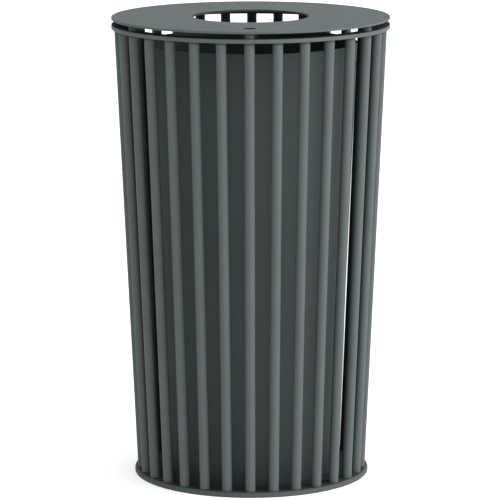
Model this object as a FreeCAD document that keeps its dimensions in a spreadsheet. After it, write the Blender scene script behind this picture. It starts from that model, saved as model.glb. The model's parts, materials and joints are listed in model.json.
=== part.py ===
"""Outdoor litter bin: a cage of leaning round bars between a base disc and a top ring, a hinged lid plate
with a round throat and a key-operated cam lock, and a tapered lift-out liner with two drop handles.

Millimetres. +Z is up, the origin is the centre of the base disc's underside, and the lock faces -Y.
"""
import FreeCAD, Part
import math
import os
import re

import Sketcher

Vector = FreeCAD.Vector
Rotation = FreeCAD.Rotation
Placement = FreeCAD.Placement
UP = Vector(0, 0, 1)
ALONG_X = Rotation(Vector(0, 1, 0), 90)
ALONG_Y = Rotation(Vector(1, 0, 0), -90)

# Driving dimensions: name, value, what it is
DIMENSIONS = (
    ("lid_radius", 250.0, "outer radius of the lid plate and of the top ring"),
    ("lid_thickness", 4.0, "lid plate"),
    ("throat_radius", 103.7, "round opening in the lid"),
    ("lid_gap", 9.5, "height of the spacers between ring and lid"),
    ("edge_break", 0.6, "chamfer on the rims of lid and ring, and under the base"),
    ("ring_thickness", 7.0, "top ring"),
    ("ring_width", 26.5, "radial width of the top ring"),
    ("cage_height", 805.5, "free height of the bars, base disc to ring"),
    ("rod_radius", 9.0, "round bars and spacers"),
    ("rod_count", 30.0, "bars round the cage"),
    ("rod_inset", 14.0, "bar centre inside the rim of the ring and of the base"),
    ("spacer_count", 6.0, "spacers under the lid"),
    ("base_radius", 213.5, "base disc"),
    ("base_thickness", 9.0, "base disc"),
    ("base_round", 4.0, "rounding of the upper rim of the base disc"),
    ("anchor_circle", 115.0, "radius of the circle of ground anchor holes"),
    ("anchor_hole_radius", 6.5, "ground anchor holes"),
    ("anchor_count", 3.0, "ground anchor holes"),
    ("drain_radius", 12.0, "drain in the middle of the base disc"),
    ("hinge_setback", 12.0, "hinge axis behind the rim of the lid"),
    ("hinge_offset", 46.0, "middle of each hinge from the bin's middle plane"),
    ("knuckle_radius", 6.5, "hinge strap knuckle"),
    ("strap_width", 24.0, "hinge strap"),
    ("strap_thickness", 4.0, "hinge strap"),
    ("strap_reach", 50.0, "hinge strap from its axis to its front end"),
    ("strap_side_gap", 0.5, "hinge strap to each ear"),
    ("ear_thickness", 6.0, "hinge bracket ears"),
    ("ear_radius", 7.0, "hinge bracket above and below the axis"),
    ("ear_reach", 34.0, "hinge bracket from its axis to its front end"),
    ("ear_nose", 5.0, "height of the ears at their front end"),
    ("stop_gap", 1.3, "knuckle to the stop web of the bracket"),
    ("stop_thickness", 4.0, "stop web of the bracket"),
    ("stop_height", 5.0, "stop web above the hinge axis"),
    ("pin_radius", 4.0, "hinge pin"),
    ("pin_clearance", 0.05, "radial running clearance of pins and spindle"),
    ("pin_head_radius", 6.0, "hinge pin heads"),
    ("pin_head_thickness", 2.5, "hinge pin heads"),
    ("lock_inset", 23.5, "lock axis inside the bore of the top ring"),
    ("lock_hole_radius", 11.0, "key hole in the lid"),
    ("lock_drop", 0.5, "lock housing below the underside of the ring"),
    ("housing_radius", 14.0, "lock housing"),
    ("housing_flange_radius", 18.0, "lock housing flange"),
    ("housing_flange_thickness", 3.0, "lock housing flange"),
    ("key_well_depth", 6.0, "wide upper part of the housing's bore"),
    ("spindle_radius", 7.0, "lock spindle"),
    ("spindle_float", 0.2, "end play of the spindle in its housing"),
    ("collar_clearance", 0.5, "lock spindle collar inside the well of its housing"),
    ("collar_thickness", 2.0, "lock spindle collar"),
    ("stud_radius", 5.2, "three-sided stud that the key turns, over its corners"),
    ("stud_recess", 3.5, "stud below the top of the lid"),
    ("cam_gap", 0.3, "cam below the lock housing"),
    ("cam_thickness", 3.0, "lock cam"),
    ("cam_width", 16.0, "lock cam"),
    ("cam_reach", 23.0, "lock cam from its axis to its tip"),
    ("shank_width", 8.0, "square end of the spindle that carries the cam"),
    ("shank_fit", 0.05, "gap on each side of the square end"),
    ("screw_radius", 2.5, "cam screw"),
    ("screw_length", 12.0, "cam screw below its head"),
    ("screw_flange_radius", 6.5, "cam screw flange"),
    ("screw_flange_thickness", 1.2, "cam screw flange"),
    ("screw_head_radius", 4.6, "six-sided head of the cam screw over its corners"),
    ("screw_head_height", 3.0, "head of the cam screw"),
    ("keeper_width", 30.0, "keeper plate that the cam turns under"),
    ("keeper_reach", 8.5, "keeper plate inside the ring"),
    ("keeper_thickness", 5.0, "keeper plate"),
    ("rim_drop", 25.0, "liner rim below the top ring"),
    ("rim_clearance", 32.0, "liner rim inside the bore of the top ring"),
    ("foot_clearance", 32.5, "liner foot inside the bars"),
    ("liner_wall", 1.5, "liner sheet"),
    ("hem_height", 12.0, "liner sheet folded down inside its rim"),
    ("liner_floor_lift", 15.0, "liner bottom above the liner's foot"),
    ("liner_drain_circle", 100.0, "radius of the circle of drain holes in the liner"),
    ("liner_drain_radius", 4.0, "drain holes in the liner"),
    ("liner_drain_count", 4.0, "drain holes in the liner"),
    ("locator_gap", 1.2, "liner foot to its locators"),
    ("locator_width", 16.0, "liner locators"),
    ("locator_thickness", 3.0, "liner locators"),
    ("locator_foot", 20.0, "welded foot of a locator"),
    ("locator_height", 20.0, "upright part of a locator"),
    ("locator_flare", 5.0, "outward lead-in of a locator"),
    ("locator_count", 3.0, "liner locators"),
    ("handle_depth", 39.0, "handle axis below the liner's rim"),
    ("handle_clearance", 0.7, "hanging handle to the liner wall at its lower corners"),
    ("handle_width", 92.0, "drop handle between the middles of its sides"),
    ("handle_drop", 46.0, "drop handle from its axis to the middle of its grip"),
    ("handle_corner", 14.0, "bend of the handle's wire"),
    ("wire_radius", 3.5, "handle wire"),
    ("wire_clearance", 0.1, "handle wire in its tube"),
    ("tube_wall", 2.0, "tube of a handle bracket"),
    ("tube_length", 30.0, "tube of a handle bracket"),
    ("saddle_length", 64.0, "saddle of a handle bracket along the wall"),
    ("saddle_height", 26.0, "saddle of a handle bracket"),
    ("saddle_bite", 1.0, "saddle face into the tube"),
    ("rivet_spacing", 48.0, "rivets of a handle bracket"),
    ("rivet_radius", 2.5, "handle rivets"),
    ("rivet_head_radius", 4.5, "handle rivets"),
    ("rivet_head_height", 1.8, "sunk inner head of a handle rivet"),
    ("rivet_cap_height", 1.2, "outer head of a handle rivet, out from the sheet at its middle"),
    ("seat_gap", 0.35, "saddles and rivet heads to the curved sheet that they lie on"),
    ("overrun", 20.0, "how far every cutting shape runs past what it cuts"),
)
SIZE = {name: value for name, value, meaning in DIMENSIONS}

# Levels and radii that several pieces share, as sums of the driving dimensions
RING_BOTTOM = "(base_thickness + cage_height)"
RING_TOP = "(base_thickness + cage_height + ring_thickness)"
RING_BORE = "(lid_radius - ring_width)"
LID_BOTTOM = "(base_thickness + cage_height + ring_thickness + lid_gap)"
HINGE_Y = "(lid_radius + hinge_setback)"
HINGE_Z = f"({LID_BOTTOM} - knuckle_radius)"
EAR_SEAT = "(lid_gap - knuckle_radius)"
HINGE_HALF_WIDTH = "(strap_width / 2 + strap_side_gap + ear_thickness)"
HOUSING_BOTTOM = f"({RING_BOTTOM} - lock_drop)"
CAM_TOP = f"({HOUSING_BOTTOM} - cam_gap)"
WELL_FLOOR = f"({LID_BOTTOM} - key_well_depth)"
COLLAR_TOP = f"({WELL_FLOOR} + spindle_float + collar_thickness)"
LOCK_Y = f"(lock_inset - {RING_BORE})"
LINER_HEIGHT = "(cage_height - rim_drop)"
LINER_RIM = f"({RING_BORE} - rim_clearance)"
LINER_FOOT = "(base_radius - rod_inset - rod_radius - foot_clearance)"
WALL_SLOPE = f"(({LINER_RIM} - {LINER_FOOT}) / {LINER_HEIGHT})"
HANDLE_HEIGHT = f"({LINER_HEIGHT} - handle_depth)"
HANDLE_Z = f"(base_thickness + {HANDLE_HEIGHT})"
HANDLE_WALL = f"({LINER_FOOT} - liner_wall + {WALL_SLOPE} * {HANDLE_HEIGHT})"
RIVET_SEAT = f"(sqrt(({HANDLE_WALL} + liner_wall) ^ 2 - (rivet_spacing / 2) ^ 2))"
GRIP_WALL = f"({LINER_FOOT} - liner_wall + {WALL_SLOPE} * ({HANDLE_HEIGHT} - handle_drop))"
HANDLE_X = (f"(sqrt({GRIP_WALL} ^ 2 - (handle_width / 2 + wire_radius) ^ 2)"
            " - wire_radius - handle_clearance)")
TUBE_RADIUS = "(wire_radius + wire_clearance + tube_wall)"
SADDLE_FACE = f"({HANDLE_X} + {TUBE_RADIUS} - saddle_bite)"

doc = FreeCAD.newDocument("LitterBin")


def in_sheet(expression):
    """The expression with each dimension's name pointing at its cell."""
    return re.sub(r"[a-z]+(?:_[a-z]+)+|overrun", lambda found: "Sizes." + found.group(), expression)


def bind(thing, **expressions):
    """Tie properties to the sheet. A double underscore stands for the dot of a nested property."""
    for name, expression in expressions.items():
        thing.setExpression(name.replace("__", "."), in_sheet(expression))


def move(thing, x="0", y="0", z="0"):
    """Tie a thing's place to the sheet."""
    bind(thing, Placement__Base__x=x, Placement__Base__y=y, Placement__Base__z=z)


def turn(thing, angle):
    """Turn a thing about the bin's axis by an angle in degrees, given as an expression."""
    thing.Placement = Placement(Vector(), Rotation(UP, 1))
    bind(thing, Placement__Rotation__Angle=angle)


def make_sheet():
    """The spreadsheet that holds the driving dimensions."""
    sheet = doc.addObject("Spreadsheet::Sheet", "Sizes")
    for row, (name, value, meaning) in enumerate(DIMENSIONS, start=1):
        sheet.set(f"A{row}", meaning)
        sheet.set(f"B{row}", str(value))
        sheet.setAlias(f"B{row}", name)
    doc.recompute()


def new_body(label):
    """An empty body named after its piece."""
    body = doc.addObject("PartDesign::Body", label)
    body.Label = label
    return body


def new_sketch(body, plane):
    """A sketch on one of the body's own origin planes."""
    sketch = body.newObject("Sketcher::SketchObject", "Sketch")
    origin_plane = next(item for item in body.Origin.OriginFeatures if item.Role == plane)
    sketch.AttachmentSupport = [(origin_plane, "")]
    sketch.MapMode = "FlatFace"
    return sketch


def pin_point(sketch, shape, point, x, y):
    """Hold one point of a sketch at two expressions from the sketch's origin."""
    for kind, expression in (("DistanceX", x), ("DistanceY", y)):
        name = f"{kind}{shape}"
        number = sketch.addConstraint(Sketcher.Constraint(kind, -1, 1, shape, point, 1.0))
        sketch.renameConstraint(number, name)
        bind(sketch, **{f"Constraints__{name}": expression})


def outline(body, plane, points):
    """A closed outline of straight sides through points given as pairs of expressions."""
    sketch = new_sketch(body, plane)
    count = len(points)
    corners = [Vector(math.cos(math.tau * i / count), math.sin(math.tau * i / count)) for i in range(count)]
    for i in range(count):
        sketch.addGeometry(Part.LineSegment(corners[i], corners[(i + 1) % count]), False)
    for i in range(count):
        sketch.addConstraint(Sketcher.Constraint("Coincident", i, 2, (i + 1) % count, 1))
    for i, (x, y) in enumerate(points):
        pin_point(sketch, i, 1, x, y)
    return sketch


def circles(body, plane, *rounds):
    """A sketch of circles, each given as expressions for its centre and its radius."""
    sketch = new_sketch(body, plane)
    for i, (x, y, radius) in enumerate(rounds):
        sketch.addGeometry(Part.Circle(Vector(i, 0), UP, 1.0), False)
        pin_point(sketch, i, 3, x, y)
        number = sketch.addConstraint(Sketcher.Constraint("Radius", i, 1.0))
        sketch.renameConstraint(number, f"Radius{i}")
        bind(sketch, **{f"Constraints__Radius{i}": radius})
    return sketch


def pad(body, sketch, length, midplane=False):
    """Raise a sketch to a solid."""
    feature = body.newObject("PartDesign::Pad", "Pad")
    feature.Profile = sketch
    feature.Midplane = midplane
    bind(feature, Length=length)
    return feature


def cut_through(body, sketch):
    """Cut a sketch through the whole body, both ways, and make sure that it takes something away."""
    doc.recompute()
    before = body.Shape.Volume
    pocket = body.newObject("PartDesign::Pocket", "Pocket")
    pocket.Profile = sketch
    pocket.Type = "ThroughAll"
    pocket.Midplane = True
    doc.recompute()
    if not body.Shape.Volume < before:
        raise ValueError(f"{body.Label}: {pocket.Name} cuts nothing")
    return pocket


def repeat_round(body, feature, count):
    """Repeat a feature evenly round the body's own Z axis."""
    pattern = body.newObject("PartDesign::PolarPattern", "PolarPattern")
    pattern.Originals = [feature]
    pattern.Axis = (next(item for item in body.Origin.OriginFeatures if item.Role == "Z_Axis"), [""])
    pattern.Angle = 360.0
    bind(pattern, Occurrences=count)
    body.Tip = pattern
    return pattern


def round_edges(feature, radii, low=-math.inf, high=math.inf):
    """Names of the round edges that have one of these radii and lie between two levels."""
    doc.recompute()
    names = []
    for number, edge in enumerate(feature.Shape.Edges, start=1):
        if isinstance(edge.Curve, Part.Circle) and low < edge.Curve.Center.z < high:
            if any(math.isclose(edge.Curve.Radius, radius) for radius in radii):
                names.append(f"Edge{number}")
    return names


def break_edges(body, *radii, high=math.inf):
    """Chamfer the round edges that have one of these radii, up to a level."""
    feature = body.Tip
    names = round_edges(feature, radii, high=high)
    chamfer = body.newObject("PartDesign::Chamfer", "Chamfer")
    chamfer.Base = (feature, names)
    bind(chamfer, Size="edge_break")


def round_rim(body, radius, low, size):
    """Round the outer edges of one radius above a level."""
    feature = body.Tip
    names = round_edges(feature, [radius], low=low)
    fillet = body.newObject("PartDesign::Fillet", "Fillet")
    fillet.Base = (feature, names)
    bind(fillet, Radius=size)


def cylinder(radius, height, x="0", y="0", z="0", along=None):
    """A round bar, upright or along another axis."""
    thing = doc.addObject("Part::Cylinder", "Cylinder")
    if along:
        thing.Placement = Placement(Vector(), along)
    bind(thing, Radius=radius, Height=height)
    move(thing, x, y, z)
    return thing


def box(length, width, height, x="0", y="0", z="0"):
    """A box from its lowest corner."""
    thing = doc.addObject("Part::Box", "Box")
    bind(thing, Length=length, Width=width, Height=height)
    move(thing, x, y, z)
    return thing


def prism(sides, radius, height, x="0", y="0", z="0"):
    """An upright prism with even sides, its radius taken over the corners."""
    thing = doc.addObject("Part::Prism", "Prism")
    thing.Polygon = sides
    bind(thing, Circumradius=radius, Height=height)
    move(thing, x, y, z)
    return thing


def fuse(*things):
    """Join solids."""
    thing = doc.addObject("Part::MultiFuse", "Fusion")
    thing.Shapes = list(things)
    return thing


def cut(base, tool):
    """Take one solid from another."""
    thing = doc.addObject("Part::Cut", "Cut")
    thing.Base = base
    thing.Tool = tool
    return thing


def common(first, second):
    """What two solids share."""
    thing = doc.addObject("Part::MultiCommon", "Common")
    thing.Shapes = [first, second]
    return thing


def make_base_disc():
    """Round-rimmed plate that the bars stand on, with anchor holes and a drain under the liner."""
    body = new_body("base_disc")
    rounds = circles(body, "XY_Plane", ("0", "0", "base_radius"), ("0", "0", "drain_radius"))
    pad(body, rounds, "base_thickness")
    hole = cut_through(body, circles(body, "XY_Plane", ("anchor_circle", "0", "anchor_hole_radius")))
    repeat_round(body, hole, "anchor_count")
    half_way = SIZE["base_thickness"] / 2
    break_edges(body, SIZE["base_radius"], high=half_way)
    round_rim(body, SIZE["base_radius"], half_way, "base_round")
    return body


def make_top_ring():
    """Flat ring that the bars carry."""
    body = new_body("top_ring")
    pad(body, circles(body, "XY_Plane", ("0", "0", "lid_radius"), ("0", "0", RING_BORE)), "ring_thickness")
    break_edges(body, SIZE["lid_radius"], SIZE["lid_radius"] - SIZE["ring_width"])
    move(body, z=RING_BOTTOM)
    return body


def make_rods():
    """Round bars that lean inwards to the base, each cut level at its foot and at its head."""
    foot = doc.addObject("Part::Circle", "RodFoot")
    bind(foot, Radius="rod_radius")
    move(foot, x="base_radius - rod_inset", z="base_thickness")
    rods = []
    for number in range(int(SIZE["rod_count"])):
        rod = doc.addObject("Part::Extrusion", f"rod_{number + 1:02d}")
        rod.Label = rod.Name
        rod.Base = foot
        rod.DirMode = "Custom"
        rod.Solid = True
        rod.Dir = UP
        bind(rod, Dir__x="lid_radius - base_radius", Dir__z="cage_height")
        bind(rod, LengthFwd="sqrt((lid_radius - base_radius) ^ 2 + cage_height ^ 2)")
        turn(rod, f"360 / rod_count * {number} - 90")
        rods.append(rod)
    return rods


def make_spacers():
    """Short round bars on the ring, in line with the bars below, that the closed lid rests on."""
    spacers = []
    for number in range(int(SIZE["spacer_count"])):
        angle = f"(360 deg / spacer_count * {number} - 90 deg)"
        spacer = cylinder("rod_radius", "lid_gap", f"(lid_radius - rod_inset) * cos{angle}",
                          f"(lid_radius - rod_inset) * sin{angle}", RING_TOP)
        spacer.Label = f"spacer_{number + 1}"
        spacers.append(spacer)
    return spacers


def make_hinge_bracket(label, side):
    """Two ears welded on the ring, joined behind the knuckle by a web that stops the open lid."""
    body = new_body(label)
    stop_front = "(knuckle_radius + stop_gap)"
    stop_back = "(knuckle_radius + stop_gap + stop_thickness)"
    ears = outline(body, "YZ_Plane", (
        ("-ear_reach", f"-{EAR_SEAT}"),
        ("-hinge_setback", f"-{EAR_SEAT}"),
        (f"-(hinge_setback - ear_radius + {EAR_SEAT})", "-ear_radius"),
        (stop_back, "-ear_radius"),
        (stop_back, "stop_height"),
        ("0", "ear_radius"),
        ("-ear_reach", f"ear_nose - {EAR_SEAT}"),
    ))
    pad(body, ears, f"2 * {HINGE_HALF_WIDTH}", midplane=True)
    half_slot = "(strap_width / 2 + strap_side_gap)"
    cut_through(body, outline(body, "XY_Plane", (
        (f"-{half_slot}", "-(ear_reach + overrun)"),
        (half_slot, "-(ear_reach + overrun)"),
        (half_slot, stop_front),
        (f"-{half_slot}", stop_front),
    )))
    cut_through(body, circles(body, "YZ_Plane", ("0", "0", "pin_radius")))
    move(body, f"{side} * hinge_offset", HINGE_Y, HINGE_Z)
    return body


def make_hinge_pins():
    """One headed pin for each hinge, fixed in the ears."""
    pins = doc.addObject("Part::Compound", "hinge_pins")
    pins.Label = "hinge_pins"
    parts = []
    for side in (-1, 1):
        start = f"{side} * hinge_offset - {HINGE_HALF_WIDTH}"
        shank = cylinder("pin_radius", f"2 * {HINGE_HALF_WIDTH}", start, HINGE_Y, HINGE_Z, ALONG_X)
        near = cylinder("pin_head_radius", "pin_head_thickness", f"{start} - pin_head_thickness",
                        HINGE_Y, HINGE_Z, ALONG_X)
        far = cylinder("pin_head_radius", "pin_head_thickness", f"{start} + 2 * {HINGE_HALF_WIDTH}",
                       HINGE_Y, HINGE_Z, ALONG_X)
        parts.append(fuse(shank, near, far))
    pins.Links = parts
    return pins


def make_latch_keeper():
    """Plate welded inside the ring at the front, which the locked cam turns under."""
    plate = box("keeper_width", "keeper_reach", "keeper_thickness",
                "-keeper_width / 2", f"-{RING_BORE}", RING_BOTTOM)
    keeper = common(plate, cylinder(RING_BORE, "keeper_thickness", z=RING_BOTTOM))
    keeper.Label = "latch_keeper"
    return keeper


def make_liner_locators():
    """Folded lugs on the base disc that centre the liner's foot."""
    face = f"({LINER_FOOT} + locator_gap)"
    lugs = []
    for number in range(int(SIZE["locator_count"])):
        body = new_body(f"liner_locator_{number + 1}")
        side = outline(body, "XZ_Plane", (
            (face, "0"),
            (f"{face} + locator_foot", "0"),
            (f"{face} + locator_foot", "locator_thickness"),
            (f"{face} + locator_thickness", "locator_thickness"),
            (f"{face} + locator_thickness", "locator_height"),
            (f"{face} + locator_thickness + locator_flare", "locator_height + 2 * locator_flare"),
            (f"{face} + locator_flare", "locator_height + 2 * locator_flare"),
            (face, "locator_height"),
        ))
        pad(body, side, "locator_width", midplane=True)
        turn(body, f"360 / locator_count * {number} - 90")
        bind(body, Placement__Base__z="base_thickness")
        lugs.append(body)
    return lugs


def make_lid_plate():
    """Flat round lid with the throat and the key hole."""
    body = new_body("lid_plate")
    rounds = circles(body, "XY_Plane", ("0", "0", "lid_radius"), ("0", "0", "throat_radius"),
                     ("0", LOCK_Y, "lock_hole_radius"))
    pad(body, rounds, "lid_thickness")
    break_edges(body, SIZE["lid_radius"], SIZE["throat_radius"])
    move(body, z=LID_BOTTOM)
    return body


def make_hinge_strap(label, side):
    """Flat strap welded under the lid, with a knuckle that turns on the hinge pin."""
    body = new_body(label)
    plate = outline(body, "YZ_Plane", (
        ("-strap_reach", "knuckle_radius - strap_thickness"),
        ("0", "knuckle_radius - strap_thickness"),
        ("0", "knuckle_radius"),
        ("-strap_reach", "knuckle_radius"),
    ))
    pad(body, plate, "strap_width", midplane=True)
    pad(body, circles(body, "YZ_Plane", ("0", "0", "knuckle_radius")), "strap_width", midplane=True)
    cut_through(body, circles(body, "YZ_Plane", ("0", "0", "pin_radius + pin_clearance")))
    move(body, f"{side} * hinge_offset", HINGE_Y, HINGE_Z)
    return body


def make_lock_housing():
    """Flanged sleeve welded under the lid, with a wide well above its bearing bore."""
    length = f"{LID_BOTTOM} - {HOUSING_BOTTOM}"
    place = {"y": LOCK_Y}
    sleeve = cylinder("housing_radius", length, z=HOUSING_BOTTOM, **place)
    flange = cylinder("housing_flange_radius", "housing_flange_thickness",
                      z=f"{LID_BOTTOM} - housing_flange_thickness", **place)
    bore = cylinder("spindle_radius + pin_clearance", f"{length} + 2 * overrun",
                    z=f"{HOUSING_BOTTOM} - overrun", **place)
    well = cylinder("lock_hole_radius", "key_well_depth + overrun", z=WELL_FLOOR, **place)
    housing = cut(fuse(sleeve, flange), fuse(bore, well))
    housing.Label = "lock_housing"
    return housing


def make_lock_spindle():
    """Turning part of the lock: stud for the key, collar, bearing and a square end for the cam."""
    place = {"y": LOCK_Y}
    stud = prism(3, "stud_radius", f"{LID_BOTTOM} + lid_thickness - stud_recess - {COLLAR_TOP}",
                 z=COLLAR_TOP, **place)
    collar = cylinder("lock_hole_radius - collar_clearance", "collar_thickness",
                      z=f"{COLLAR_TOP} - collar_thickness", **place)
    bearing = cylinder("spindle_radius", f"{WELL_FLOOR} + spindle_float - {CAM_TOP}", z=CAM_TOP, **place)
    square_bottom = f"{CAM_TOP} - cam_thickness + spindle_float"
    square = box("shank_width", "shank_width", "cam_thickness - spindle_float",
                 "-shank_width / 2", f"{LOCK_Y} - shank_width / 2", square_bottom)
    thread = cylinder("screw_radius + shank_fit", "screw_length + overrun",
                      z=f"{CAM_TOP} - cam_thickness - overrun", **place)
    spindle = cut(fuse(stud, collar, bearing, square), thread)
    spindle.Label = "lock_spindle"
    return spindle


def make_lock_cam():
    """Flat finger with round ends on the spindle's square end, turned aside when the lid is unlocked."""
    bottom = f"{CAM_TOP} - cam_thickness"
    hub = cylinder("cam_width / 2", "cam_thickness", y=LOCK_Y, z=bottom)
    tip = cylinder("cam_width / 2", "cam_thickness", "cam_reach - cam_width / 2", LOCK_Y, bottom)
    blade = box("cam_reach - cam_width / 2", "cam_width", "cam_thickness",
                y=f"{LOCK_Y} - cam_width / 2", z=bottom)
    hole_width = "(shank_width + 2 * shank_fit)"
    hole = box(hole_width, hole_width, "cam_thickness + 2 * overrun", f"-{hole_width} / 2",
               f"{LOCK_Y} - {hole_width} / 2", f"{bottom} - overrun")
    cam = cut(fuse(hub, tip, blade), hole)
    cam.Label = "lock_cam"
    return cam


def make_lock_screw():
    """Flanged hexagon screw that holds the cam on the spindle."""
    seat = f"{CAM_TOP} - cam_thickness"
    place = {"y": LOCK_Y}
    shank = cylinder("screw_radius", "screw_length", z=seat, **place)
    flange = cylinder("screw_flange_radius", "screw_flange_thickness",
                      z=f"{seat} - screw_flange_thickness", **place)
    head = prism(6, "screw_head_radius", "screw_head_height",
                 z=f"{seat} - screw_flange_thickness - screw_head_height", **place)
    screw = fuse(shank, flange, head)
    screw.Label = "lock_screw"
    return screw


def revolve(body, sketch):
    """Turn a sketch once round the bin's axis."""
    feature = body.newObject("PartDesign::Revolution", "Revolution")
    feature.Profile = sketch
    feature.ReferenceAxis = (sketch, ["V_Axis"])
    feature.Angle = 360.0
    return feature


def make_liner_wall():
    """Tapered sheet wall of the liner, hemmed inwards at its rim."""
    body = new_body("liner_wall")
    hem_face = f"({LINER_RIM} - {WALL_SLOPE} * hem_height - liner_wall)"
    revolve(body, outline(body, "XZ_Plane", (
        (f"{LINER_FOOT} - liner_wall", "0"),
        (LINER_FOOT, "0"),
        (LINER_RIM, LINER_HEIGHT),
        (f"{LINER_RIM} - 2 * liner_wall", LINER_HEIGHT),
        (f"{hem_face} - liner_wall", f"{LINER_HEIGHT} - hem_height"),
        (hem_face, f"{LINER_HEIGHT} - hem_height"),
    )))
    cut_through(body, circles(body, "YZ_Plane", ("-rivet_spacing / 2", HANDLE_HEIGHT, "rivet_radius"),
                              ("rivet_spacing / 2", HANDLE_HEIGHT, "rivet_radius")))
    move(body, z="base_thickness")
    return body


def make_liner_bottom():
    """Raised liner bottom, flanged down inside the wall, with drain holes."""
    body = new_body("liner_bottom")
    foot = f"({LINER_FOOT} - liner_wall)"
    edge = f"({foot} + {WALL_SLOPE} * liner_floor_lift)"
    under = "(liner_floor_lift - liner_wall)"
    revolve(body, outline(body, "XZ_Plane", (
        ("0", under),
        (f"{foot} + {WALL_SLOPE} * {under} - liner_wall", under),
        (f"{foot} - liner_wall", "0"),
        (foot, "0"),
        (edge, "liner_floor_lift"),
        ("0", "liner_floor_lift"),
    )))
    hole = cut_through(body, circles(body, "XY_Plane", ("liner_drain_circle", "0", "liner_drain_radius")))
    repeat_round(body, hole, "liner_drain_count")
    move(body, z="base_thickness")
    return body


def liner_cone(offset):
    """Solid frustum that follows the outside of the liner wall at an offset."""
    cone = doc.addObject("Part::Cone", "Cone")
    bind(cone, Radius1=f"{LINER_FOOT} + {offset}", Radius2=f"{LINER_RIM} + {offset}", Height=LINER_HEIGHT)
    move(cone, z="base_thickness")
    return cone


def rivet_bars(radius, start, length):
    """The two bars along X on the rivets of one handle bracket."""
    return [cylinder(radius, length, start, f"{end} * rivet_spacing / 2", HANDLE_Z, ALONG_X)
            for end in (-1, 1)]


def rivet_countersinks():
    """The cones in the flat face of one saddle that the inner rivet heads fill."""
    cones = []
    for end in (-1, 1):
        cone = doc.addObject("Part::Cone", "Countersink")
        cone.Placement = Placement(Vector(), ALONG_X)
        bind(cone, Radius1="rivet_head_radius", Radius2="rivet_radius", Height="rivet_head_height")
        move(cone, SADDLE_FACE, f"{end} * rivet_spacing / 2", HANDLE_Z)
        cones.append(cone)
    return cones


def make_handle_bracket(label, angle):
    """Saddle that follows the liner wall and carries the tube of a drop handle."""
    block = box(f"{HANDLE_WALL} - {SADDLE_FACE} + overrun", "saddle_length", "saddle_height", SADDLE_FACE,
                "-saddle_length / 2", f"{HANDLE_Z} - saddle_height / 2")
    saddle = common(block, liner_cone("(-liner_wall - seat_gap)"))
    tube = cylinder(TUBE_RADIUS, "tube_length", HANDLE_X, "-tube_length / 2", HANDLE_Z, ALONG_Y)
    bore = cylinder("wire_radius + wire_clearance", "tube_length + 2 * overrun", HANDLE_X,
                    "-tube_length / 2 - overrun", HANDLE_Z, ALONG_Y)
    holes = rivet_bars("rivet_radius", f"{SADDLE_FACE} - overrun",
                       f"{HANDLE_WALL} - {SADDLE_FACE} + 2 * overrun")
    bracket = cut(fuse(saddle, tube), fuse(bore, *holes, *rivet_countersinks()))
    bracket.Label = label
    turn(bracket, str(angle))
    return bracket


def make_handle_rivets():
    """Rivets through the saddles and the wall, flush inside and with heads that follow the wall outside."""
    rivets = []
    for angle in (0, 180):
        end = f"({RIVET_SEAT} + rivet_cap_height)"
        heads = rivet_bars("rivet_head_radius", SADDLE_FACE, f"{end} - {SADDLE_FACE}")
        shanks = rivet_bars("rivet_radius", SADDLE_FACE, f"{end} - {SADDLE_FACE}")
        for head, shank, countersink in zip(heads, shanks, rivet_countersinks()):
            rivet = fuse(cut(head, liner_cone("seat_gap")), shank, countersink)
            turn(rivet, str(angle))
            rivets.append(rivet)
    group = doc.addObject("Part::Compound", "handle_rivets")
    group.Label = "handle_rivets"
    group.Links = rivets
    return group


def make_handle(label, side):
    """Closed loop of round wire that hangs from its bracket's tube: straight sides with bent corners."""
    half = SIZE["handle_width"] / 2
    drop = SIZE["handle_drop"]
    bend = SIZE["handle_corner"]
    across = Vector(0, 1, 0)
    corners = (Vector(0, half, 0), Vector(0, half, -drop), Vector(0, -half, -drop), Vector(0, -half, 0))
    directions = (across, -UP, -across, UP, across)
    edges = []
    start = Vector()
    for corner, arriving, leaving in zip(corners, directions, directions[1:]):
        first = corner - arriving * bend
        last = corner + leaving * bend
        middle = first + leaving * bend + (arriving - leaving) * bend * math.sqrt(0.5)
        edges.append(Part.LineSegment(start, first).toShape())
        edges.append(Part.Arc(first, middle, last).toShape())
        start = last
    edges.append(Part.LineSegment(start, Vector()).toShape())
    section = Part.Wire([Part.Circle(Vector(), across, SIZE["wire_radius"]).toShape()])
    loop = doc.addObject("Part::Feature", label)
    loop.Shape = Part.Wire(edges).makePipeShell([section], True, False)
    loop.Label = label
    move(loop, f"{side} * {HANDLE_X}", z=HANDLE_Z)
    return loop


def make_pieces():
    """Every piece of the bin, in one list."""
    pieces = [make_base_disc(), *make_rods(), make_top_ring(), *make_spacers(), make_latch_keeper()]
    pieces += make_liner_locators()
    for name, side in (("left", -1), ("right", 1)):
        pieces.append(make_hinge_bracket(f"hinge_bracket_{name}", side))
        pieces.append(make_hinge_strap(f"hinge_strap_{name}", side))
    pieces += [make_hinge_pins(), make_lid_plate(), make_lock_housing()]
    pieces += [make_lock_spindle(), make_lock_cam(), make_lock_screw()]
    pieces += [make_liner_wall(), make_liner_bottom(), make_handle_rivets()]
    for name, side, angle in (("left", -1, 180), ("right", 1, 0)):
        pieces.append(make_handle_bracket(f"handle_bracket_{name}", angle))
        pieces.append(make_handle(f"handle_{name}", side))
    return pieces


def check(pieces):
    """Stop if any object failed or any piece isn't sound."""
    for thing in doc.Objects:
        if "Invalid" in thing.State or "Error" in thing.State:
            raise ValueError(f"{thing.Name} failed: {thing.State}")
    for piece in pieces:
        if piece.Shape.isNull() or not piece.Shape.isValid() or not piece.Shape.Solids:
            raise ValueError(f"{piece.Label} isn't a sound solid")


def write(pieces):
    """One STEP file for each piece."""
    os.makedirs("parts", exist_ok=True)
    for piece in pieces:
        piece.Shape.exportStep(f"parts/{piece.Label}.step")


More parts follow.
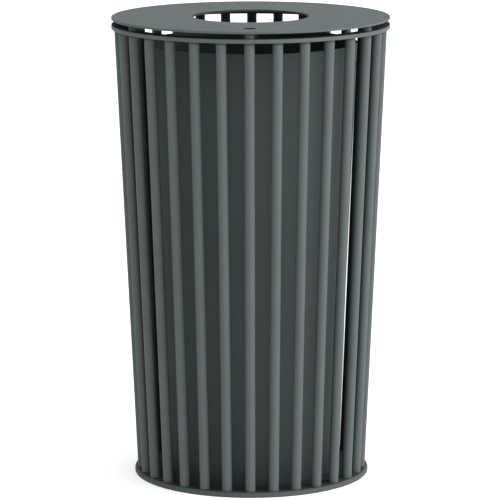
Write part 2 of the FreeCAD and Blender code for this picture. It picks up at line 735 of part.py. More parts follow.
make_sheet()
bin_pieces = make_pieces()
doc.recompute()
check(bin_pieces)
write(bin_pieces)
for bin_piece in bin_pieces:
    print(f"{bin_piece.Label:22s} {len(bin_piece.Shape.Solids)} solid  {bin_piece.Shape.Volume:12.1f} mm3")
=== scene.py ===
"""Dresses the outdoor litter bin: finely made plates, bars, liner, hinges, lock and handles in their
finishes, on a plain pale floor under soft studio light, seen from the photograph's viewpoint.

Metres. The bin stands on the floor at the origin, +Z up, with its lock towards -Y.
"""

import json
import math

import bmesh
import bpy
from mathutils import Matrix, Vector


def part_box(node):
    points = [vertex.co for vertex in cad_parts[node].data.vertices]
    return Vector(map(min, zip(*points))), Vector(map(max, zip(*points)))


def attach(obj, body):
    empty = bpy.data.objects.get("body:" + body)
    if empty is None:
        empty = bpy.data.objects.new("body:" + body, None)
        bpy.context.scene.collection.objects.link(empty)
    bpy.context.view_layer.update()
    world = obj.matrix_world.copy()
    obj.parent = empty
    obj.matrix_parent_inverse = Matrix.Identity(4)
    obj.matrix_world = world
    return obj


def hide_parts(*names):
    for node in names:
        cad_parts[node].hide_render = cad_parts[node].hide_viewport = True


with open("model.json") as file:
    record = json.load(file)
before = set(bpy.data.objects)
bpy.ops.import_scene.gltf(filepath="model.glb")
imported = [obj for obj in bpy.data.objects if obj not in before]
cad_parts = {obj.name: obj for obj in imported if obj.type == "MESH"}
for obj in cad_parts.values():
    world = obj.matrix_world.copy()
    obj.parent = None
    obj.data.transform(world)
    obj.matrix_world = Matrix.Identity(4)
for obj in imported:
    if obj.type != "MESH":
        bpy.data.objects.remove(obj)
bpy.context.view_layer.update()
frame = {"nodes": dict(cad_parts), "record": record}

bl_info = {
    "name": "Litter Bin",
    "version": (1, 0, 0),
    "blender": (4, 5, 0),
    "location": "3D Viewport > Sidebar > Litter Bin",
    "description": "Makes a round litter bin of leaning bars with a hinged lid, a lock and a liner",
    "category": "Add Mesh",
}

MM = 0.001
MICRON = 0.000001


# Sizes read from the frame

def node_box(node):
    """Lowest and highest corner of a CAD node."""
    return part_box(node)


def reach(node, x=0.0, y=0.0):
    """Smallest and largest distance of a CAD node's points from an upright line."""
    spans = [math.hypot(point.co.x - x, point.co.y - y) for point in frame["nodes"][node].data.vertices]
    return min(spans), max(spans)


def reach_at(node, level, within):
    """Largest distance of a CAD node's points from the bin's axis, near a level."""
    return max(math.hypot(point.co.x, point.co.y) for point in frame["nodes"][node].data.vertices
               if abs(point.co.z - level) < within)


def levels(node):
    """Lowest and highest level of a CAD node."""
    low, high = node_box(node)
    return low.z, high.z


def middle(node):
    """Centre of a CAD node's box."""
    low, high = node_box(node)
    return (low + high) / 2


def named(start):
    """The CAD nodes whose names begin alike, in order."""
    return sorted(node for node in frame["nodes"] if node.startswith(start))


BASE_BOTTOM, BASE_TOP = levels("base_disc")
DRAIN_RADIUS, BASE_RADIUS = reach("base_disc")
BASE_ROUND = BASE_RADIUS - reach_at("base_disc", BASE_TOP, MICRON)
RING_BOTTOM, RING_TOP = levels("top_ring")
RING_BORE, RING_RADIUS = reach("top_ring")
LID_BOTTOM, LID_TOP = levels("lid_plate")
THROAT_RADIUS, LID_RADIUS = reach("lid_plate")
LOCK = middle("lock_housing")
KEY_HOLE_RADIUS = reach("lid_plate", LOCK.x, LOCK.y)[0]
FRONT_ROD_LOW, FRONT_ROD_HIGH = node_box("rod_01")
ROD_RADIUS = (FRONT_ROD_HIGH.x - FRONT_ROD_LOW.x) / 2
ROD_FOOT = -FRONT_ROD_HIGH.y + ROD_RADIUS
ROD_HEAD = -FRONT_ROD_LOW.y - ROD_RADIUS
LINER_FOOT, LINER_TOP = levels("liner_wall")
LINER_RIM = reach("liner_wall")[1]
LINER_FOOT_RADIUS = reach_at("liner_wall", LINER_FOOT, MM)
LOCATOR_TOE = reach("liner_locator_1")[1]
FRONT_LOCATOR_LOW, FRONT_LOCATOR_HIGH = node_box("liner_locator_1")
LOCATOR_WIDTH = FRONT_LOCATOR_HIGH.x - FRONT_LOCATOR_LOW.x
FRONT = -math.pi / 2


# How finely the forms are made

PLATE_SIDES = 288
HOLE_SIDES = 64
FLOOR_SIDES = 96
WIRE_SIDES = 20
BEAD_SIDES = 8
RIM_STEPS = 2
BASE_RIM_STEPS = 6
PART_EDGE_STEPS = 2
HEM_STEPS = 6
BEND_STEPS = 10
KEEPER_STEPS = 12
SPACER_ROWS = 3

# Upright part of a face's normal, from which the face counts as level or as part of a rounded rim
FLAT = 0.999
ROUNDED_FROM = 0.05

# Angles between faces that are sharp, that are the end of a bar, and that lie in one plane
SHARP_EDGE = math.radians(30)
SHARP_END = math.radians(60)
ONE_PLANE = math.radians(0.5)

# Weld beads: ripples and lumps
RIPPLE_LENGTH = 1.6 * MM
RIPPLE_STEPS = 4
LUMP_SIZE = 3 * MM

# Shares of a bead's radius: depth of its ripples, a collar's stand-off from its bar, and the liner's seam
RIPPLE_SHARE = 0.12
COLLAR_SHARE = 0.2
SEAM_SHARE = 0.8

# Lower lip of the liner's hem, as shares of its sheet's thickness: in from the outer side, up from the end
HEM_LIP_SHARES = ((2.0, 1 / 2), (1.7, 0.0), (1.1, 0.0), (1.0, 1 / 3))


# Node trees

class Wire:
    """A socket of a tree, which Python's arithmetic turns into Math nodes."""

    def __init__(self, graph, socket):
        self.graph = graph
        self.socket = socket

    def __add__(self, other):
        return self.graph.math("ADD", self, other)

    def __radd__(self, other):
        return self.graph.math("ADD", other, self)

    def __sub__(self, other):
        return self.graph.math("SUBTRACT", self, other)

    def __rsub__(self, other):
        return self.graph.math("SUBTRACT", other, self)

    def __mul__(self, other):
        return self.graph.math("MULTIPLY", self, other)

    def __rmul__(self, other):
        return self.graph.math("MULTIPLY", other, self)

    def __truediv__(self, other):
        return self.graph.math("DIVIDE", self, other)

    def __rtruediv__(self, other):
        return self.graph.math("DIVIDE", other, self)


class Block:
    """A node in place, whose outputs are read by name or number."""

    def __init__(self, graph, node):
        self.graph = graph
        self.node = node

    def __getitem__(self, name):
        return Wire(self.graph, self.node.outputs[name])


class Graph:
    """A node tree that is being built."""

    def __init__(self, tree):
        self.tree = tree

    def node(self, kind, settings=None, values=None):
        """Add a node: its settings first, then a value, a link or a list of links for each socket."""
        made = self.tree.nodes.new(kind)
        for name, value in (settings or {}).items():
            setattr(made, name, value)
        for name, value in (values or {}).items():
            self.feed(made.inputs[name], value)
        return Block(self, made)

    def feed(self, socket, value):
        """Give a socket its value or its links."""
        for item in value if isinstance(value, list) else [value]:
            if isinstance(item, Wire):
                self.tree.links.new(item.socket, socket)
            else:
                socket.default_value = item

    def math(self, operation, *values):
        """A Math node on sockets or numbers."""
        return self.node("ShaderNodeMath", {"operation": operation}, dict(enumerate(values)))["Value"]

    def clamped(self, value):
        """A value held between 0 and 1."""
        return self.node("ShaderNodeClamp", {}, {"Value": value})["Result"]

    def band(self, value, low, high):
        """A smooth rise from 0 to 1 while a value goes from low to high."""
        return self.node("ShaderNodeMapRange", {"interpolation_type": "SMOOTHSTEP"},
                         {"Value": value, "From Min": low, "From Max": high})["Result"]

    def mix(self, factor, first, second):
        """A blend of two colours."""
        return self.node("ShaderNodeMix", {"data_type": "RGBA"}, {0: factor, 6: first, 7: second})[2]

    def tinted(self, factor, color, tint):
        """A colour multiplied by a tint."""
        return self.node("ShaderNodeMix", {"data_type": "RGBA", "blend_type": "MULTIPLY"},
                         {0: factor, 6: color, 7: tint})[2]

    def vector(self, x=0.0, y=0.0, z=0.0):
        """Three numbers as a vector."""
        return self.node("ShaderNodeCombineXYZ", {}, {"X": x, "Y": y, "Z": z})["Vector"]

    def axes(self, vector):
        """The three numbers of a vector."""
        split = self.node("ShaderNodeSeparateXYZ", {}, {"Vector": vector})
        return split["X"], split["Y"], split["Z"]

    def marked(self, name):
        """The amount that a piece stores on its faces by a name, or 0."""
        return self.node("ShaderNodeAttribute", {"attribute_name": name})["Fac"]

    def noise(self, place, size, detail=2.0, roughness=0.5):
        """Cloudy noise, with clouds about the given size."""
        return self.node("ShaderNodeTexNoise", {}, {"Vector": place, "Scale": 1.0 / size, "Detail": detail,
                                                    "Roughness": roughness})["Fac"]


# Finishes

# Sizes of the patterns, and depths of the relief
COAT_CLOUDS = 90 * MM
COAT_PATCHES = 14 * MM
COAT_RELIEF = 0.12 * MM
SHEET_CLOUDS = 160 * MM
ROLLING_LINES = 1.6 * MM
HANDLING_MARKS = 22 * MM
SHEET_RELIEF = 0.05 * MM
TURNING_LINES = 1.2 * MM
ZINC_BLOTCHES = 5 * MM
ZINC_CRYSTALS = 4 * MM
ZINC_CLOUDS = 9 * MM
METAL_RELIEF = 0.02 * MM
FLOOR_CLOUDS = 0.6

# Metres of the liner's wall for each radian round it, and how much of a height the patterns see: the
# liner's are drawn out along it, and the lines of turned steel are pressed together
WALL_PER_RADIAN = 0.18
LINES_DRAWN_OUT = 0.012
MARKS_DRAWN_OUT = 0.25
TURNING_SQUEEZED = 12.0

# Levels between which the liner darkens: at its foot with dust and painted shade, at its rim with painted
# shade under the ring
FOOT_DUST_AND_SHADE = (0.20, 0.0)
RIM_SHADE = (0.68, 0.79)

# Painted shade: the tint of the marked level tops, the stretch of the bars below the ring that the ring's
# painted shadow covers, how close to the ring it fades out, and how dark it is
TOP_SHADE_TINT = (0.88, 1.0, 1.0, 1.0)
RING_SHADOW_REACH = 6 * MM
RING_SHADOW_END = 0.1 * MM
RING_SHADOW_STRENGTH = 0.7


def new_finish(name):
    """A material with an empty tree, and its Object coordinates."""
    material = bpy.data.materials.new(name)
    material.use_nodes = True
    material.node_tree.nodes.clear()
    graph = Graph(material.node_tree)
    return material, graph, graph.node("ShaderNodeTexCoord")["Object"]


def close_finish(graph, values):
    """Put the shader and the output at the end of a finish."""
    shader = graph.node("ShaderNodeBsdfPrincipled", {}, values)["BSDF"]
    graph.node("ShaderNodeOutputMaterial", {}, {"Surface": shader})


def bumped(graph, height, distance, strength):
    """A normal that follows a height."""
    return graph.node("ShaderNodeBump", {}, {"Height": height, "Distance": distance,
                                             "Strength": strength})["Normal"]


def shade(color, amount):
    """A colour made lighter or darker."""
    return tuple(min(1.0, part * amount) for part in color[:3]) + (1.0,)


def swing(noise, amount):
    """A noise as a number that swings about 0, by half the amount each way."""
    return (noise - 0.5) * amount


def painted_ring_shadow(graph, place):
    """A rise from 0 to 1 on the bars' last millimetres below the ring, where it paints the ring's shadow."""
    level = graph.axes(place)[2]
    near = graph.band(level, RING_BOTTOM - RING_SHADOW_REACH, RING_BOTTOM - RING_SHADOW_REACH / 3)
    return near * graph.band(level, RING_BOTTOM, RING_BOTTOM - RING_SHADOW_END)


def powder_coat(name, color, roughness, grain, wear):
    """Fine-textured powder coat: a pebbled skin with slow drifts of tone, pale on worn edges.

    Marked level tops get a darker, cooler tint, and marked hollows, undersides and the bars' last
    millimetres under the ring are darkened: both are painted shade.
    """
    material, graph, place = new_finish(name)
    drift = graph.noise(place, COAT_CLOUDS, 3.0)
    patch = graph.noise(place, COAT_PATCHES, 3.0, 0.6)
    pebble = graph.noise(place, grain, 3.0, 0.6)
    fleck = graph.noise(place, grain * 0.4, 1.0)
    tone = graph.clamped(swing(drift, 0.55) + swing(patch, 0.35) + swing(pebble, 0.5) + 0.5)
    body = graph.mix(tone, shade(color, 0.86), shade(color, 1.14))
    rubbed = graph.marked("worn") * graph.band(patch + swing(fleck, 0.3), 0.42, 0.62) * wear
    painted = graph.mix(rubbed, body, shade(color, 1.7))
    # Painted shade: the marked level tops get a darker, cooler tint
    top_shaded = graph.tinted(graph.marked("top_shaded"), painted, TOP_SHADE_TINT)
    # Painted shade: the marked faces and the painted shadow under the ring darken the coat
    shade_mask = graph.math("MAXIMUM", graph.marked("painted_shade"), painted_ring_shadow(graph, place) * RING_SHADOW_STRENGTH)
    painted_shade = shade_mask * (0.82 + swing(drift, 0.12) + swing(patch, 0.08))
    finished = graph.mix(painted_shade, top_shaded, shade(color, 0.3))
    matt = roughness + swing(patch, 0.14) + swing(pebble, 0.16) - rubbed * 0.12 + painted_shade * 0.35
    skin = pebble + fleck * 0.35 + graph.band(drift, 0.3, 0.7) * 0.15
    close_finish(graph, {"Base Color": finished, "Roughness": matt, "Specular IOR Level": 0.15,
                         "Normal": bumped(graph, skin, COAT_RELIEF, 0.7)})
    return material


def sheet_coat(name, color, roughness):
    """Smooth coat on rolled sheet: faint upright rolling lines, handling marks, dust with painted shade at
    the foot, painted shade at the rim, and painted shade on marked faces.
    """
    material, graph, place = new_finish(name)
    x, y, z = graph.axes(place)
    along = graph.math("ARCTAN2", y, x) * WALL_PER_RADIAN
    lines = graph.noise(graph.vector(along, 0.0, z * LINES_DRAWN_OUT), ROLLING_LINES, 2.0)
    drift = graph.noise(place, SHEET_CLOUDS, 3.0)
    marks = graph.noise(graph.vector(along, 0.0, z * MARKS_DRAWN_OUT), HANDLING_MARKS, 4.0, 0.65)
    tone = graph.clamped(swing(lines, 0.4) + swing(drift, 0.6) + swing(marks, 0.5) + 0.5)
    body = graph.mix(tone, shade(color, 0.85), shade(color, 1.15))
    # Painted shade near the rim under the ring, and dust with painted shade at the foot
    end_dust_and_shade = (graph.band(z, *FOOT_DUST_AND_SHADE) + graph.band(z, *RIM_SHADE)) * 0.6
    end_darkening = end_dust_and_shade * (0.3 + graph.band(marks, 0.35, 0.7) * 0.5)
    painted = graph.mix(end_darkening, body, shade(color, 0.55))
    rubbed = graph.marked("worn") * graph.band(marks, 0.45, 0.6)
    edged = graph.mix(rubbed * 0.6, painted, shade(color, 1.9))
    # Painted shade: the marked faces are darkened and made rougher
    painted_shade = graph.marked("painted_shade") * (0.8 + swing(drift, 0.2))
    finished = graph.mix(painted_shade, edged, shade(color, 0.38))
    matt = roughness + swing(marks, 0.2) + swing(lines, 0.08) + painted_shade * 0.4
    close_finish(graph, {"Base Color": finished, "Roughness": matt, "Specular IOR Level": 0.2,
                         "Normal": bumped(graph, lines * 0.3 + drift, SHEET_RELIEF, 0.4)})
    return material


def plated_steel(name, color, roughness):
    """Zinc-plated steel: fine turning lines and blotches, darker and duller from place to place."""
    material, graph, place = new_finish(name)
    x, y, z = graph.axes(place)
    grain = graph.noise(graph.vector(x, y, z * TURNING_SQUEEZED), TURNING_LINES, 3.0, 0.7)
    blotch = graph.noise(place, ZINC_BLOTCHES, 4.0, 0.6)
    tone = graph.clamped(blotch * 0.7 + grain * 0.3)
    body = graph.mix(tone, shade(color, 0.72), shade(color, 1.2))
    matt = roughness + swing(blotch, 0.25) + swing(grain, 0.15)
    close_finish(graph, {"Base Color": body, "Roughness": matt, "Metallic": 1.0 - blotch * 0.25,
                         "Normal": bumped(graph, grain, METAL_RELIEF, 0.5)})
    return material


def galvanised_wire(name, color, roughness):
    """Galvanised wire: pale crystals of zinc in patches of different dullness."""
    material, graph, place = new_finish(name)
    crystal = graph.node("ShaderNodeTexVoronoi", {"feature": "F1"},
                         {"Vector": place, "Scale": 1.0 / ZINC_CRYSTALS})
    facet = graph.axes(crystal["Color"])[0]
    cloud = graph.noise(place, ZINC_CLOUDS, 3.0)
    tone = graph.clamped(facet * 0.5 + cloud * 0.5)
    body = graph.mix(tone, shade(color, 0.75), shade(color, 1.15))
    matt = roughness + swing(facet, 0.22)
    close_finish(graph, {"Base Color": body, "Roughness": matt, "Metallic": 0.9 - cloud * 0.2,
                         "Normal": bumped(graph, facet + cloud, METAL_RELIEF, 0.4)})
    return material


def studio_floor(name, color, glow):
    """Pale floor with hardly visible clouds, lit a little from within so that shadows on it stay faint."""
    material, graph, place = new_finish(name)
    cloud = graph.noise(place, FLOOR_CLOUDS, 3.0)
    body = graph.mix(cloud, shade(color, 0.99), shade(color, 1.01))
    close_finish(graph, {"Base Color": body, "Roughness": 0.85 + swing(cloud, 0.05),
                         "Emission Color": body, "Emission Strength": glow})
    return material


def finish_for(slot, looks):
    """The finish of one of the record's slots, made once."""
    name = f"fine_{slot}"
    if name in bpy.data.materials:
        return bpy.data.materials[name]
    if slot == "powder_coat":
        return powder_coat(name, looks.coat_color, looks.coat_roughness, looks.coat_grain, looks.edge_wear)
    if slot == "liner_coat":
        return sheet_coat(name, looks.liner_shaded_color, looks.liner_roughness)
    if slot == "zinc_wire":
        return galvanised_wire(name, looks.zinc_color, looks.metal_roughness)
    return plated_steel(name, looks.steel_color, looks.metal_roughness)


# Making and placing pieces

def add_object(name, data):
    """A new object in the scene, at the origin."""
    thing = bpy.data.objects.new(name, data)
    bpy.context.scene.collection.objects.link(thing)
    return thing


def settle(thing, name):
    """A plain mesh of what an object's curve, modifiers or nodes make. The object itself goes."""
    bpy.context.view_layer.update()
    graph = bpy.context.evaluated_depsgraph_get()
    mesh = bpy.data.meshes.new_from_object(thing.evaluated_get(graph))
    bpy.data.objects.remove(thing)
    mesh.name = name
    return add_object(name, mesh)


def merge(mesh):
    """Join points that lie together and turn every face outwards."""
    shape = bmesh.new()
    shape.from_mesh(mesh)
    bmesh.ops.remove_doubles(shape, verts=shape.verts, dist=MICRON)
    bmesh.ops.recalc_face_normals(shape, faces=shape.faces)
    shape.to_mesh(mesh)
    shape.free()


def mark(mesh, name, amount):
    """Store an amount on each face, for the finishes to read."""
    values = mesh.attributes.get(name) or mesh.attributes.new(name, "FLOAT", "FACE")
    values.data.foreach_set("value", [float(amount(face)) for face in mesh.polygons])


def deliver(piece, body, slot, looks, *replaced):
    """Give a piece its finish and its place in the frame."""
    piece.data.materials.clear()
    piece.data.materials.append(finish_for(slot, looks))
    for face in piece.data.polygons:
        face.material_index = 0
    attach(piece, body)
    if replaced:
        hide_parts(*replaced)


def round_outline(x, y, radius, sides):
    """Points of a level circle."""
    turns = (math.tau * step / sides for step in range(sides))
    return [(x + radius * math.cos(turn), y + radius * math.sin(turn)) for turn in turns]


def make_plate(name, bottom, top, outlines, edge, steps=RIM_STEPS):
    """A flat plate with rounded rims, filled between its outlines."""
    curve = bpy.data.curves.new(name, "CURVE")
    curve.dimensions = "2D"
    curve.fill_mode = "BOTH"
    curve.extrude = (top - bottom) / 2 - edge
    curve.bevel_depth = edge
    curve.bevel_resolution = steps
    curve.offset = -edge
    for outline in outlines:
        spline = curve.splines.new("POLY")
        spline.points.add(len(outline) - 1)
        spline.points.foreach_set("co", [part for x, y in outline for part in (x, y, 0.0, 1.0)])
        spline.use_cyclic_u = True
    source = add_object(name, curve)
    plate = settle(source, name)
    plate.data.transform(Matrix.Translation((0.0, 0.0, (top + bottom) / 2)))
    merge(plate.data)
    for face in plate.data.polygons:
        face.use_smooth = abs(face.normal.z) < FLAT
    mark(plate.data, "worn", lambda face: ROUNDED_FROM < abs(face.normal.z) < FLAT)
    return plate


def make_lathe(name, profile, sides):
    """A closed profile of radius and level turned round the bin's axis."""
    shape = bmesh.new()
    rings = []
    for radius, level in profile:
        outline = round_outline(0.0, 0.0, radius, sides)
        rings.append([shape.verts.new((x, y, level)) for x, y in outline])
    for ring, following in zip(rings, rings[1:] + rings[:1]):
        for step in range(sides):
            ahead = (step + 1) % sides
            shape.faces.new((ring[step], ring[ahead], following[ahead], following[step]))
    bmesh.ops.recalc_face_normals(shape, faces=shape.faces)
    mesh = bpy.data.meshes.new(name)
    shape.to_mesh(mesh)
    shape.free()
    mesh.shade_smooth()
    mesh.set_sharp_from_angle(angle=SHARP_EDGE)
    return add_object(name, mesh)


def soften(node, edge):
    """A copy of a CAD node with its edges rounded.

    The roundings get the second material slot, by which they are marked as worn.
    """
    mesh = frame["nodes"][node].data.copy()
    mesh.materials.clear()
    shape = bmesh.new()
    shape.from_mesh(mesh)
    bmesh.ops.remove_doubles(shape, verts=shape.verts, dist=MICRON)
    bmesh.ops.dissolve_limit(shape, angle_limit=ONE_PLANE, verts=shape.verts, edges=shape.edges)
    shape.to_mesh(mesh)
    shape.free()
    source = add_object(node, mesh)
    mesh.shade_smooth()
    bevel = source.modifiers.new("Rounded edges", "BEVEL")
    bevel.width = edge
    bevel.segments = PART_EDGE_STEPS
    bevel.limit_method = "ANGLE"
    bevel.angle_limit = SHARP_EDGE
    bevel.material = 1
    source.modifiers.new("Even shading", "WEIGHTED_NORMAL")
    mesh.materials.append(None)
    mesh.materials.append(None)
    piece = settle(source, f"fine_{node}")
    mark(piece.data, "worn", lambda face: face.material_index == 1)
    return piece


# Geometry Nodes

def grow(name, inputs, build, source_data=None):
    """Run a Geometry Nodes tree once. Inputs are names with a socket type and a value."""
    tree = bpy.data.node_groups.new(name, "GeometryNodeTree")
    tree.interface.new_socket("Geometry", in_out="INPUT", socket_type="NodeSocketGeometry")
    tree.interface.new_socket("Geometry", in_out="OUTPUT", socket_type="NodeSocketGeometry")
    sockets = {}
    for label, (kind, value) in inputs.items():
        sockets[label] = tree.interface.new_socket(label, in_out="INPUT", socket_type=kind)
    graph = Graph(tree)
    entry = graph.node("NodeGroupInput")
    shape = build(graph, entry)
    solid = graph.node("GeometryNodeRealizeInstances", {}, {"Geometry": shape})["Geometry"]
    dressed = graph.node("GeometryNodeSetMaterial", {}, {"Geometry": solid, "Material": entry["Finish"]})
    graph.node("NodeGroupOutput", {}, {"Geometry": dressed["Geometry"]})
    source = add_object(name, source_data or bpy.data.meshes.new(name))
    modifier = source.modifiers.new(name, "NODES")
    modifier.node_group = tree
    for label, (kind, value) in inputs.items():
        modifier[sockets[label].identifier] = value
    piece = settle(source, name)
    piece.data.set_sharp_from_angle(angle=SHARP_END)
    return piece


def moved(graph, shape, x=0.0, z=0.0, rotation=(0.0, 0.0, 0.0)):
    """A shape turned, and then moved out and up."""
    return graph.node("GeometryNodeTransform", {}, {"Geometry": shape, "Translation": graph.vector(x, z=z),
                                                    "Rotation": rotation})["Geometry"]


def joined(graph, *shapes):
    """Shapes as one."""
    return graph.node("GeometryNodeJoinGeometry", {}, {"Geometry": list(reversed(shapes))})["Geometry"]


def round_copies(graph, shape, count, first):
    """Copies of a shape turned evenly round the bin's axis."""
    points = graph.node("GeometryNodePoints", {}, {"Count": count})["Points"]
    number = graph.node("GeometryNodeInputIndex")["Index"]
    turn = graph.vector(z=number * (math.tau / count) + first)
    return graph.node("GeometryNodeInstanceOnPoints", {}, {"Points": points, "Instance": shape,
                                                           "Rotation": turn})["Instances"]


def round_path(graph, radius, steps):
    """A level circle as a path or a section."""
    return graph.node("GeometryNodeCurvePrimitiveCircle", {},
                      {"Resolution": steps, "Radius": radius})["Curve"]


def tube_along(graph, path, radius, sides, capped=False):
    """A smooth round tube along a path."""
    tube = graph.node("GeometryNodeCurveToMesh", {}, {"Curve": path, "Fill Caps": capped,
                                                      "Profile Curve": round_path(graph, radius, sides)})
    return graph.node("GeometryNodeSetShadeSmooth", {}, {"Geometry": tube["Mesh"]})["Geometry"]


def bead(graph, path, radius, ripples):
    """A weld bead along a path, rippled like the pools that it was laid in."""
    along = graph.node("GeometryNodeSplineParameter")["Factor"]
    spot = graph.node("GeometryNodeInputPosition")["Position"]
    wave = graph.math("SINE", along * ripples * math.tau)
    swell = 1.0 + wave * RIPPLE_SHARE + swing(graph.noise(spot, LUMP_SIZE, 2.0), RIPPLE_SHARE)
    swollen = graph.node("GeometryNodeSetCurveRadius", {}, {"Curve": path, "Radius": swell})["Curve"]
    return tube_along(graph, swollen, radius, BEAD_SIDES, capped=True)


def collar(graph, entry, z):
    """A ring of weld round the end of a bar."""
    weld = entry["Weld radius"]
    ripples = entry["Ripples"]
    path = round_path(graph, entry["Bar radius"] + weld * COLLAR_SHARE, ripples * RIPPLE_STEPS)
    return moved(graph, bead(graph, path, weld, ripples), z=z)


def upright_bar(graph, entry, rows=1):
    """An upright round bar on the ground, smooth round its side, with some rows of faces."""
    bar = graph.node("GeometryNodeMeshCylinder", {}, {
        "Vertices": entry["Bar sides"], "Side Segments": rows,
        "Radius": entry["Bar radius"], "Depth": entry["Height"]})
    smooth = graph.node("GeometryNodeSetShadeSmooth", {}, {"Geometry": bar["Mesh"],
                                                           "Selection": bar["Side"]})
    return moved(graph, smooth["Geometry"], z=entry["Height"] / 2)


def leaning_bars(graph, entry):
    """Bars between two circles, cut level at both ends, with a weld at each end."""
    height = entry["Height"]
    shapes = joined(graph, upright_bar(graph, entry),
                    collar(graph, entry, 0.0), collar(graph, entry, height))
    x, y, z = graph.axes(graph.node("GeometryNodeInputPosition")["Position"])
    lean = (entry["Head circle"] - entry["Foot circle"]) * z / height + entry["Foot circle"]
    leaning = graph.node("GeometryNodeSetPosition", {}, {"Geometry": shapes,
                                                         "Offset": graph.vector(x=lean)})["Geometry"]
    cage = round_copies(graph, leaning, entry["Bars"], FRONT)
    return moved(graph, cage, z=entry["Foot level"])


def spacer_bars(graph, entry):
    """Short bars on the ring, welded at their feet."""
    shapes = joined(graph, upright_bar(graph, entry, SPACER_ROWS), collar(graph, entry, 0.0))
    placed = moved(graph, shapes, x=entry["Circle"], z=entry["Foot level"])
    return round_copies(graph, placed, entry["Bars"], FRONT)


def weld_runs(graph, entry):
    """Beads along every path of the source curve."""
    step = entry["Ripple length"] / RIPPLE_STEPS
    fine = graph.node("GeometryNodeResampleCurve", {"mode": "LENGTH"}, {"Curve": entry["Geometry"],
                                                                        "Length": step})["Curve"]
    length = graph.node("GeometryNodeSplineLength")["Length"]
    return bead(graph, fine, entry["Weld radius"], length / entry["Ripple length"])


def make_welds(name, paths, radius, body, looks, slot="powder_coat"):
    """Weld beads along paths, each a list of points, or a closed one with its first point given again."""
    curve = bpy.data.curves.new(name, "CURVE")
    curve.dimensions = "3D"
    for path in paths:
        closed = (path[0] - path[-1]).length < MICRON
        points = path[:-1] if closed else path
        spline = curve.splines.new("POLY")
        spline.points.add(len(points) - 1)
        spline.points.foreach_set("co", [part for point in points for part in (*point, 1.0)])
        spline.use_cyclic_u = closed
    piece = grow(name, {
        "Weld radius": ("NodeSocketFloat", radius),
        "Ripple length": ("NodeSocketFloat", RIPPLE_LENGTH),
        "Finish": ("NodeSocketMaterial", finish_for(slot, looks)),
    }, weld_runs, curve)
    deliver(piece, body, slot, looks)


# Pieces

# How strongly painted shade darkens places that lie in shade, from 0 to 1
SHADE_IN_WELDS = 0.9
SHADE_IN_THROAT = 0.85
SHADE_ON_SPACERS = 0.4
SHADE_ON_BASE_RIM = 0.35
SHADE_IN_LINER = 0.25

# How far a rounding or a weld reaches past its own size, when its faces are looked for
ROUNDING_MARGIN = 1.01
WELD_MARGIN = 1.5


def is_in_shade(face):
    """Whether a face of a plate lies in shade: its underside, or its edge towards the axis."""
    outwards = face.normal.xy.dot(face.center.xy)
    return outwards < 0.0 or face.normal.z < -FLAT


def shade_on_lid(face):
    """How much painted shade darkens a face of the lid: wholly underneath and in the key hole, and less in
    the throat.
    """
    in_key_hole = (face.center.xy - LOCK.xy).length < KEY_HOLE_RADIUS + MM and face.normal.z < FLAT
    if in_key_hole or face.normal.z < -FLAT:
        return 1.0
    return SHADE_IN_THROAT if is_in_shade(face) else 0.0


def widen_rounding(plate, radius, top, edge, wide):
    """Make the rounding of a plate's upper outer rim larger."""
    growth = wide / edge
    found = edge * ROUNDING_MARGIN
    for point in plate.data.vertices:
        inside = radius - point.co.xy.length
        below = top - point.co.z
        if inside < found and below < found:
            point.co.xy *= (radius - inside * growth) / (radius - inside)
            point.co.z = top - below * growth


def shade_on_base(face):
    """How much painted shade darkens a face of the base disc: wholly on top, below and in the rounding at
    its foot, and less on its rim.
    """
    in_foot_rounding = face.normal.z < -ROUNDED_FROM
    return 1.0 if abs(face.normal.z) > FLAT or in_foot_rounding else SHADE_ON_BASE_RIM


def inward(face):
    """How much a face looks towards the bin's axis, into the shade inside the bin."""
    return max(0.0, -face.normal.xy.dot(face.center.xy.normalized()))


def shade_on_bar(face, weld):
    """How much painted shade darkens a face of the bars: much in the welds at their ends, and else where it
    looks inwards.
    """
    from_end = min(abs(face.center.z - BASE_TOP), abs(face.center.z - RING_BOTTOM))
    return SHADE_IN_WELDS if from_end < weld * WELD_MARGIN else inward(face)


def shade_on_spacer(face):
    """How much painted shade darkens a face of a spacer: wholly in its top row under the lid, and less
    below.
    """
    row = (LID_BOTTOM - RING_TOP) / SPACER_ROWS
    return 1.0 if face.center.z > LID_BOTTOM - row else max(SHADE_ON_SPACERS, inward(face))


def make_base(looks, sizes):
    """Base disc with its round upper rim, its drain and its ground anchor holes."""
    anchors = next(mount for mount in frame["record"]["mounts"] if mount["name"] == "anchor_holes")["dims"]
    outlines = [round_outline(0.0, 0.0, radius, sides)
                for radius, sides in ((BASE_RADIUS, PLATE_SIDES), (DRAIN_RADIUS, HOLE_SIDES))]
    hole_centres = round_outline(0.0, 0.0, anchors["pcd_mm"] / 2 * MM, anchors["count"])
    for x, y in hole_centres:
        outlines.append(round_outline(x, y, anchors["hole_r_mm"] * MM, HOLE_SIDES))
    plate = make_plate("base_plate", BASE_BOTTOM, BASE_TOP, outlines, sizes.plate_edge, BASE_RIM_STEPS)
    widen_rounding(plate, BASE_RADIUS, BASE_TOP, sizes.plate_edge, BASE_ROUND)
    mark(plate.data, "worn", lambda face: 0.0)
    # Painted shade: the base's top, underside and foot rounding darkened, its rim less
    mark(plate.data, "painted_shade", shade_on_base)
    deliver(plate, "cage", "powder_coat", looks, "base_disc")


def make_ring(looks, sizes):
    """Flat ring on the bars."""
    outlines = [round_outline(0.0, 0.0, radius, PLATE_SIDES) for radius in (RING_RADIUS, RING_BORE)]
    plate = make_plate("ring_plate", RING_BOTTOM, RING_TOP, outlines, sizes.plate_edge)
    # Painted shade: the ring's top under the lid, its underside and its bore darkened
    mark(plate.data, "painted_shade", lambda face: is_in_shade(face) or face.normal.z > FLAT)
    deliver(plate, "cage", "powder_coat", looks, "top_ring")


